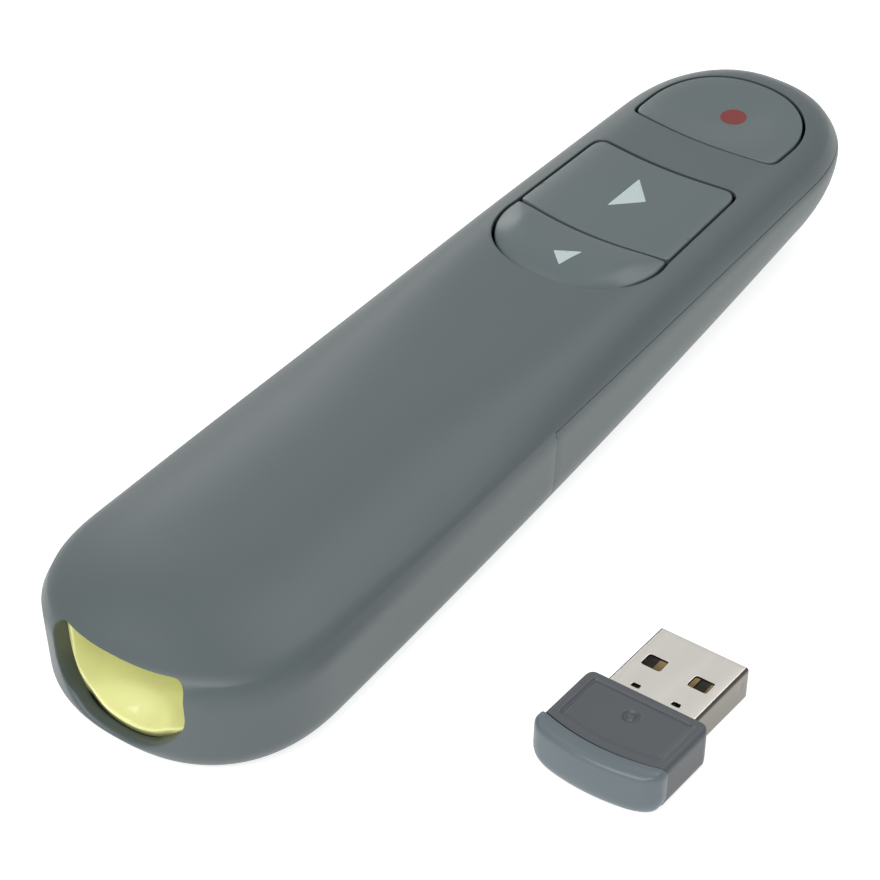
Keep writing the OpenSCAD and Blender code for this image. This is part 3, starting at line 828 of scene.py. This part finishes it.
# back wall with the plug's pocket
outl = np.concatenate([np.stack([P[-1][:, 0], P[-1][:, 2]], 1)])
outl = resample(outl, 0.5)
pocket = soft(np.array([[-6.2, 8.25], [6.2, 8.25], [6.2, 13.0], [-6.2, 13.0]]), 0.25, 0.4)
outl = offset(outl, 0.6)
Vw, Fw = patch([(outl, None), (offset(pocket, 0.2), None)], lambda a, b: np.stack([a, 0 * a - 57.6, b], 1), 0.9)
if face_n(Vw, Fw)[:, 1].sum() > 0:
    Fw = Fw[:, ::-1]
Vw, Fw = thick(Vw, Fw, 1.4, 0.2, lambda V, n: np.tile([0, 1.0, 0], (len(V), 1)))
po = offset(pocket, 0.9)
tube = np.stack([np.stack([pocket[:, 0], np.full(len(pocket), y), pocket[:, 1]], 1) for y in (-56.3, -52, -48, -44.5)])
Vp, Fp = tri_grid(tube, True)
if (face_n(Vp, Fp) * (Vp[Fp].mean(1) - np.array([0, -50, 10.6]))).sum() > 0:
    Fp = Fp[:, ::-1]
Vp, Fp = thick(*weld(Vp, Fp), 0.8, 0.05)
liner = make("bay_liner", *join([(Vl, Fl), (Vw, Fw), (Vp, Fp)]), m_lime_painted_glow, "clicker", ["receiver_bay_liner"], "lime_liner")

# ------------------------------------------------------------------ receiver
YAW = math.radians(0.55)
TIP, PH = 12.0, 4.5
LEAN = math.atan((3.3 - PH / 2) / (TIP + 9.8))
RX, RY = 46.5, -32.4
Rz = np.array([[math.cos(YAW), -math.sin(YAW), 0], [math.sin(YAW), math.cos(YAW), 0], [0, 0, 1]])
Rx = np.array([[1, 0, 0], [0, math.cos(-LEAN), -math.sin(-LEAN)], [0, math.sin(-LEAN), math.cos(-LEAN)]])
RM = Rz @ Rx
R0 = np.array([RX, RY, PH / 2 * math.cos(LEAN) + TIP * math.sin(LEAN)])


def laid(V, floor=0.06):
    W = V @ RM.T + R0
    W[:, 2] = np.maximum(W[:, 2], floor)
    return W


def section(w, z0, z1, rt, rb, n=9):
    """closed section, counter-clockwise from the lower right"""
    pts = []
    for cx, cz, r, a0 in ((w - rb, z0 + rb, rb, -90), (w - rt, z1 - rt, rt, 0), (-w + rt, z1 - rt, rt, 90), (-w + rb, z0 + rb, rb, 180)):
        a = np.radians(np.linspace(a0, a0 + 90, n))
        pts.append(np.stack([cx + r * np.cos(a), cz + r * np.sin(a)], 1))
    return pts


def dense(w, z0, z1, rt, rb, nt=46):
    c = section(w, z0, z1, rt, rb)
    seg = lambda p, q, m: np.stack([np.linspace(p[k], q[k], m + 2)[1:-1] for k in range(2)], 1)
    return np.concatenate([c[0], seg(c[0][-1], c[1][0], 5), c[1], seg(c[1][-1], c[2][0], nt), c[2], seg(c[2][-1], c[3][0], 5),
                           c[3], seg(c[3][-1], c[0][0], 20)])


def arc_y(x, d):
    return -d + 1.35 * (x / 8.2) ** 2


def back_y(x, y):
    """the back corners are rounded in plan"""
    c = np.clip(np.abs(x) - 6.9, 0, 1.29)
    return y - (1.3 - np.sqrt(1.69 - c * c)) * np.clip((y + 3.5) / 4, 0, 1)


def top_shape(x, y, z):
    """recessed panel and thumb dimple on the housing's upper face"""
    on = ss((z - 2.6) / 0.3)
    front = arc_y(x, 9.2)
    d = np.minimum(6.7 - np.abs(x), -0.75 - y)
    fade = ss((y - front) / 0.9)
    groove = np.exp(-((d - 0.12) / 0.17) ** 2) * np.where(x > 6.2, 0.14, 0.34)
    q = np.hypot(x - 0.05, (y + 3.64))
    dent = np.exp(-((q - 0.74) / 0.24) ** 2)
    return z - on * (fade * (0.12 * ss(d / 0.3) + groove) + 0.36 * dent)


DH, DN, DF = 10.12, 10.5, 12.8      # housing's front, nose's back and nose's front on the centre line


def front_round(P, R=2.4):
    """the nose's front face curves back under it"""
    c = np.clip(-3.3 + R - P[..., 2], 0, R * 0.999)
    k = np.maximum(0.12, 1 - (R - np.sqrt(R * R - c * c)) / (DF - DN + 0.15))
    arc = arc_y(P[..., 0], DN)
    P[..., 1] = arc + (P[..., 1] - arc) * k
    return P


stations = np.linspace(0, 1, 72)
rows = []
rr = 0.5
for ph in np.radians([90, 65, 40, 20, 0]):
    ins = rr * (1 - math.cos(ph))
    s = dense(8.2 - ins, -3 + ins, 3 - ins, max(0.8 - ins, 0.15), 1.5 - ins, 90)
    rows.append(np.stack([s[:, 0], 0.35 + 0 * s[:, 0] - rr * (1 - math.sin(ph)), s[:, 1]], 1))
s = dense(8.2, -3, 3, 0.8, 1.5, 90)
for u in stations[1:]:
    y0 = 0.35 - rr
    rows.append(np.stack([s[:, 0], y0 + (arc_y(s[:, 0], DH) - y0) * u, s[:, 1]], 1))
for ph in np.radians([30, 60, 90]):
    ins = 0.1 * (1 - math.cos(ph))
    q = dense(8.2 - ins, -3 + ins, 3 - ins, 0.8 - ins, 1.5 - ins, 90)
    rows.append(np.stack([q[:, 0], arc_y(q[:, 0], DH) - 0.1 * math.sin(ph), q[:, 1]], 1))
P = np.array(rows)
P[..., 2] = top_shape(P[..., 0], P[..., 1], P[..., 2])
P[..., 1] = back_y(P[..., 0], P[..., 1])
# the back face closes in to the plug
back = []
c = np.array([0.0, 0.0])
for k, kz in ((0.93, 0.98), (0.86, 0.96), (0.81, 0.94)):
    q = P[0].copy()
    q[:, 0] = q[:, 0] * k
    q[:, 2] = q[:, 2] * kz
    back.append(q)
q = P[0].copy()
q[:, 0] = np.clip(q[:, 0] * 0.79, -6.03, 6.03)
q[:, 2] = np.clip(q[:, 2] * 0.93, -2.28, 2.28)
q2 = q.copy()
q2[:, 1] = -0.9
fr = []
for k in (0.9, 0.5):
    f_ = P[-1].copy()
    f_[:, 0] *= k
    f_[:, 2] *= k
    f_[:, 1] = arc_y(f_[:, 0], DH + 0.1) - (0.3 if k < 0.8 else 0.0)
    fr.append(f_)
P = np.concatenate([[q2], [q], back[::-1], P, fr])
V, F = tri_grid(P, True)


def caps(P, V, F):
    """closes both ends of a loft"""
    R, C = P.shape[:2]
    n = len(V)
    V = np.vstack([V, P[0].mean(0), P[-1].mean(0)])
    a = np.arange(C)
    b = (a + 1) % C
    f0 = np.stack([np.full(C, n), b, a], 1)
    f1 = np.stack([np.full(C, n + 1), (R - 1) * C + a, (R - 1) * C + b], 1)
    return V, np.concatenate([F, f0, f1])


V, F = caps(P, V, F)
V, F = weld(V, F)
V, F = outward(V, F, V.mean(0))
shell = make("dongle_housing", laid(V), F, m_case_r, "receiver", ["receiver_housing"], "receiver_plastic")
shell.data.materials.append(m_black)
mid = V[F].mean(1)
shell.data.polygons.foreach_set("material_index", (mid[:, 1] < arc_y(mid[:, 0], DH + 0.03)).astype(np.int32)[:len(shell.data.polygons)])

# nose: wider flange with a bowed front
rows = []
for k in (0.4, 0.85):
    q = dense(8.5 - 0.15, -3.3 + 0.15, 3.3 - 0.15, 0.75, 2.75)
    q = np.stack([q[:, 0] * k, 0 * q[:, 0], q[:, 1] * k], 1)
    q[:, 1] = arc_y(q[:, 0], DN)
    rows.append(q)
for ph in np.radians([90, 60, 30, 0]):
    ins = 0.15 * (1 - math.cos(ph))
    q = dense(8.5 - ins, -3.3 + ins, 3.3 - ins, 0.9 - ins, 2.9 - ins)
    rows.append(np.stack([q[:, 0], arc_y(q[:, 0], DN) - 0.15 * (1 - math.sin(ph)), q[:, 1]], 1))
fr = 1.4
for ph in np.radians([0, 10, 20, 30, 40, 50, 60, 70, 80, 90]):
    ix, iz = 1.9 * (1 - math.cos(ph)), 1.0 * (1 - math.cos(ph))
    q = dense(8.5 - ix, -3.3 + iz, 3.3 - iz, max(0.9 - 0.5 * iz, 0.3), 2.9 - 0.5 * iz)
    rows.append(np.stack([q[:, 0], arc_y(q[:, 0], DF - fr) - fr * math.sin(ph), q[:, 1]], 1))
last = rows[-1]
for k in (0.93, 0.8, 0.6, 0.35, 0.12):
    q = last.copy()
    q[:, 0] *= k
    q[:, 2] *= k
    q[:, 1] = arc_y(q[:, 0], DF + 0.15 * (1 - k))
    rows.append(q)
P = front_round(np.array(rows))
V, F = tri_grid(P, True)
V, F = caps(P, V, F)
V, F = weld(laid(V, 0.04), F)
V, F = outward(V, F, V.mean(0))
make("dongle_nose", V, F, m_nose, "receiver", ["receiver_nose"], "receiver_nose")

# plug shell: folded sheet with windows
PR, HW, HH = 0.42, 6.0, 2.25
parts = []


def rect(x0, x1, y0, y1, s=0.12):
    return soft(np.array([[x0, y0], [x1, y0], [x1, y1], [x0, y1]]), s, 0.22)


Y0, Y1 = -0.9, 12.0 - 0.06
ny = 40
yl = np.linspace(Y0, Y1, ny)
for top in (True, False):
    z = HH if top else -HH
    fx = HW - PR
    xl = np.linspace(-fx, fx, 27)
    lo_ = np.concatenate([np.stack([xl, np.full(27, Y0)], 1), np.stack([np.full(ny - 2, fx), yl[1:-1]], 1),
                          np.stack([xl[::-1], np.full(27, Y1)], 1), np.stack([np.full(ny - 2, -fx), yl[1:-1][::-1]], 1)])
    holes = [rect(sx * 3.13 - 1.3, sx * 3.13 + 1.3, 5.22, 7.28, 0.2) for sx in (1, -1)]
    if top:
        holes += [rect(sx * 2.7 - 0.55, sx * 2.7 + 0.55, 1.31, 1.95, 0.1) for sx in (1, -1)]
    holes = [offset(h, 0.06) for h in holes]
    V, F = patch([(lo_, None)] + [(h, None) for h in holes], lambda a, b: np.stack([a, b, 0 * a + z], 1), 0.7,
                 near=[(h, (0.12,)) for h in holes])
    n = face_n(V, F)
    if (n[:, 2].sum() < 0) == top:
        F = F[:, ::-1]
    parts.append((V, F))
for sx in (1, -1):
    arcp = []
    for a in np.radians(np.linspace(90, 0, 9)):
        arcp.append((HW - PR + PR * math.cos(a), HH - PR + PR * math.sin(a)))
    arcp += [(HW, z) for z in np.linspace(HH - PR, -HH + PR, 7)[1:-1]]
    for a in np.radians(np.linspace(0, -90, 9)):
        arcp.append((HW - PR + PR * math.cos(a), -HH + PR + PR * math.sin(a)))
    P = np.array([[(sx * x, y, z) for y in yl] for x, z in arcp])
    # small pressed dimple in the side
    dd = np.hypot(P[..., 1] - 10.5, P[..., 2] - 0.45)
    P[..., 0] -= sx * 0.15 * np.exp(-(dd / 0.45) ** 2) * (np.abs(P[..., 0]) > HW - 0.05)
    V, F = tri_grid(P)
    parts.append(outward(V, F, np.array([0, 4.5, 0])))
V, F = weld(*join(parts))
V, F = thick(V, F, 0.3, 0.06)
plug = make("dongle_plug", laid(V, -1), F, m_plug, "receiver", ["receiver_plug_shell"], "plug_steel")
plug.data.materials.append(m_plug_painted_shade_side)
plug.data.materials.append(m_plug_painted_shade_bend)
mid = V[F].mean(1)
fn = face_n(V, F)
fn /= np.maximum(np.linalg.norm(fn, axis=1, keepdims=True), 1e-12)
ax, az = np.abs(mid[:, 0]), np.abs(mid[:, 2])
# side strips take the darker nickel, bends and window edges the darkest one: painted shade, the plug is one metal
where = np.where((ax > HW - 0.1) & (az < HH - PR), 1, np.where((ax > HW - 0.33) & (az > HH - PR), 2, 0))
where = np.where((ax < HW - PR - 0.05) & (mid[:, 1] < 11.5) & (mid[:, 1] > -0.5) & (np.abs(fn[:, 2]) < 0.97), 2, where)
plug.data.polygons.foreach_set("material_index", where[:len(plug.data.polygons)].astype(np.int32))

# ------------------------------------------------------------------ other nodes keep their shape, with small bevels
KEEP = {
    "battery_cover": m_case, "laser_plunger": m_black, "next_plunger": m_black, "back_plunger": m_black,
    "laser_switch": m_steel, "next_switch": m_steel, "back_switch": m_steel, "main_board": m_board,
    "radio_chip": m_black, "controller_chip": m_black, "crystal": m_steel, "power_switch": m_steel, "power_knob": m_black,
    "laser_barrel": m_brass, "laser_lens": m_lens, "laser_diode": m_steel, "laser_window": m_red_glass,
    "battery_tray": m_dark, "left_battery": m_cell, "right_battery": m_cell, "battery_springs": m_steel,
    "battery_contacts": m_steel, "shell_screws": m_steel, "board_screws": m_steel, "receiver_tongue": m_black,
    "receiver_contacts": m_gold, "receiver_board": m_board, "receiver_chip": m_black,
}
for name, mat in KEEP.items():
    o = NODES[name]
    o.data.materials.clear()
    o.data.materials.append(mat)
    for p in o.data.polygons:
        p.material_index = 0
    if name in ("battery_cover", "power_knob", "radio_chip", "controller_chip", "crystal", "laser_barrel"):
        bv = o.modifiers.new("edges", "BEVEL")
        bv.width = 0.00012
        bv.segments = 2
        bv.limit_method = "ANGLE"
        bv.angle_limit = math.radians(40)

# ------------------------------------------------------------------ camera
cam = bpy.data.cameras.new("camera")
cam.lens = 139.09
cam.sensor_width = 36.0
cam.sensor_fit = "HORIZONTAL"
cam.clip_start = 0.01
cam.clip_end = 10.0
co = bpy.data.objects.new("camera", cam)
bpy.context.scene.collection.objects.link(co)
AZ, EL, RO = math.radians(36.239), math.radians(39.376), math.radians(-0.021)
Fw_ = Vector((-math.sin(AZ) * math.cos(EL), math.cos(AZ) * math.cos(EL), -math.sin(EL)))
Rt = Vector((math.cos(AZ), math.sin(AZ), 0))
Up = Rt.cross(Fw_)
R2 = Rt * math.cos(RO) + Up * math.sin(RO)
U2 = -Rt * math.sin(RO) + Up * math.cos(RO)
rot = Matrix((R2, U2, -Fw_)).transposed()
co.matrix_world = Matrix.Translation(Vector((0.191658, -0.270033, 0.271187))) @ rot.to_4x4()
bpy.context.scene.camera = co

# ------------------------------------------------------------------ floor and lights
fl = bpy.data.meshes.new("floor")
n_ = 24
gx, gy = np.meshgrid(np.linspace(-3, 3, n_), np.linspace(-3, 3, n_))
Vf = np.stack([gx.ravel(), gy.ravel(), np.zeros(n_ * n_)], 1)
ix = np.arange(n_ * n_).reshape(n_, n_)
fl.from_pydata(Vf.tolist(), [], np.stack([ix[:-1, :-1].ravel(), ix[:-1, 1:].ravel(), ix[1:, 1:].ravel(), ix[1:, :-1].ravel()], 1).tolist())
floor = bpy.data.objects.new("floor", fl)
bpy.context.scene.collection.objects.link(floor)
m_floor = grainy("floor_paper", (0.5, 0.5, 0.5), 0.9, spread=0.004, scale=40, bump=0.0)
m_floor.node_tree.nodes["Principled BSDF"].inputs["Emission Color"].default_value = (1, 1, 1, 1)
m_floor.node_tree.nodes["Principled BSDF"].inputs["Emission Strength"].default_value = 0.75
fl.materials.append(m_floor)


def area(name, loc, look, size, power, color=(1, 1, 1)):
    l = bpy.data.lights.new(name, "AREA")
    l.shape = "RECTANGLE"
    l.size, l.size_y = size
    l.energy = power
    l.color = color
    o = bpy.data.objects.new(name, l)
    bpy.context.scene.collection.objects.link(o)
    d = Vector(look) - Vector(loc)
    o.rotation_euler = d.to_track_quat("-Z", "Y").to_euler()
    o.location = loc
    return o


area("overhead", (0.06, 0.32, 0.62), (0, 0, 0), (0.4, 0.4), 0.95)
area("front", (-0.42, -0.14, 0.90), (0, 0, 0.01), (0.32, 0.32), 0.6)
area("tail", (-0.10, -0.85, 0.66), (0, 0, 0.01), (0.4, 0.3), 3.3)
area("near", (0.34, -0.56, 0.76), (0, 0, 0.01), (0.5, 0.15), 2.7)
area("left", (-0.62, 0.50, 0.36), (0, 0, 0.01), (0.3, 0.3), 0.7)

world = bpy.data.worlds.new("world")
bpy.context.scene.world = world
world.use_nodes = True
world.node_tree.nodes["Background"].inputs[0].default_value = (1, 1, 1, 1)
world.node_tree.nodes["Background"].inputs[1].default_value = 0.6
bpy.context.scene.view_settings.view_transform = "Standard"
